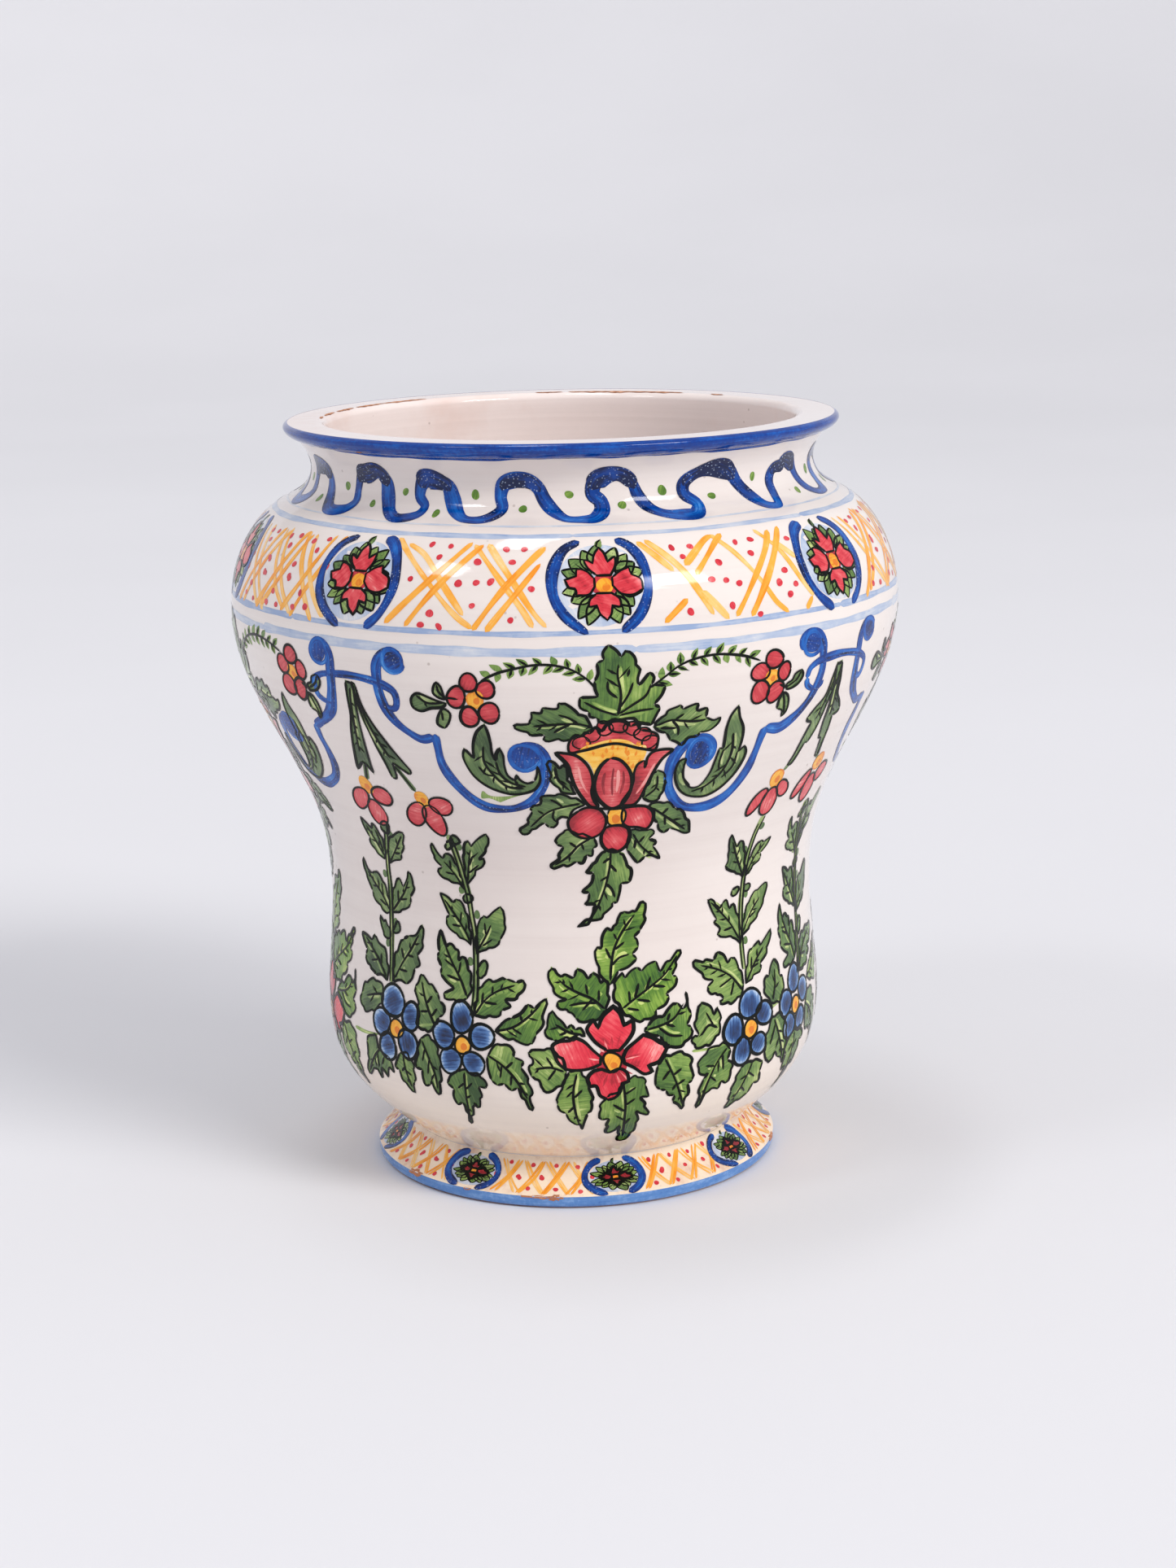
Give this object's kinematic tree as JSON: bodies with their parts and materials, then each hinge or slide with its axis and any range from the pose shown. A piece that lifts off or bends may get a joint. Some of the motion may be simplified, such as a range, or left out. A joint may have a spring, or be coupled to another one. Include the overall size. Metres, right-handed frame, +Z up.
{
  "type": "vase",
  "caption": "Footed baluster vase of painted tin-glazed earthenware, with a wide open mouth and a flat rolled lip.",
  "frame": {"origin": "centre of the foot's resting plane", "axes": "+Z up along the vase's turning axis, -Y towards the viewer of the painted front, +X to that viewer's right"},
  "size_m": [0.2644, 0.2644, 0.3],
  "materials": {
    "terracotta": "matt fired clay, wiped bare under the foot",
    "slip": "matt fired slip",
    "tin_glaze": "glossy opaque white tin glaze, creamier towards the foot",
    "lining_glaze": "glossy pinkish white glaze",
    "cobalt": "glossy cobalt blue brushwork, uneven in depth",
    "pale_blue": "glossy thin blue wash",
    "leaf_green": "glossy copper green brushwork",
    "outline_black": "glossy dark brush outlines",
    "flower_red": "glossy red brushwork with raised body",
    "lattice_orange": "glossy thin orange brush lines",
    "flower_yellow": "glossy yellow brushwork"
  },
  "bodies": {
    "root": {"foot_ring": "terracotta", "foot_slip_joint": "slip", "base_slab": "terracotta", "lower_wall": "terracotta", "waist_slip_joint": "slip", "shoulder_wall": "terracotta", "neck_slip_joint": "slip", "neck_collar": "terracotta", "rim_lip": "terracotta", "outer_glaze": "tin_glaze", "inner_glaze": "lining_glaze", "rim_glaze": "tin_glaze", "rim_cobalt_band": "cobalt", "foot_glaze": "tin_glaze", "foot_cobalt_band": "pale_blue"}
  },
  "joints": []
}
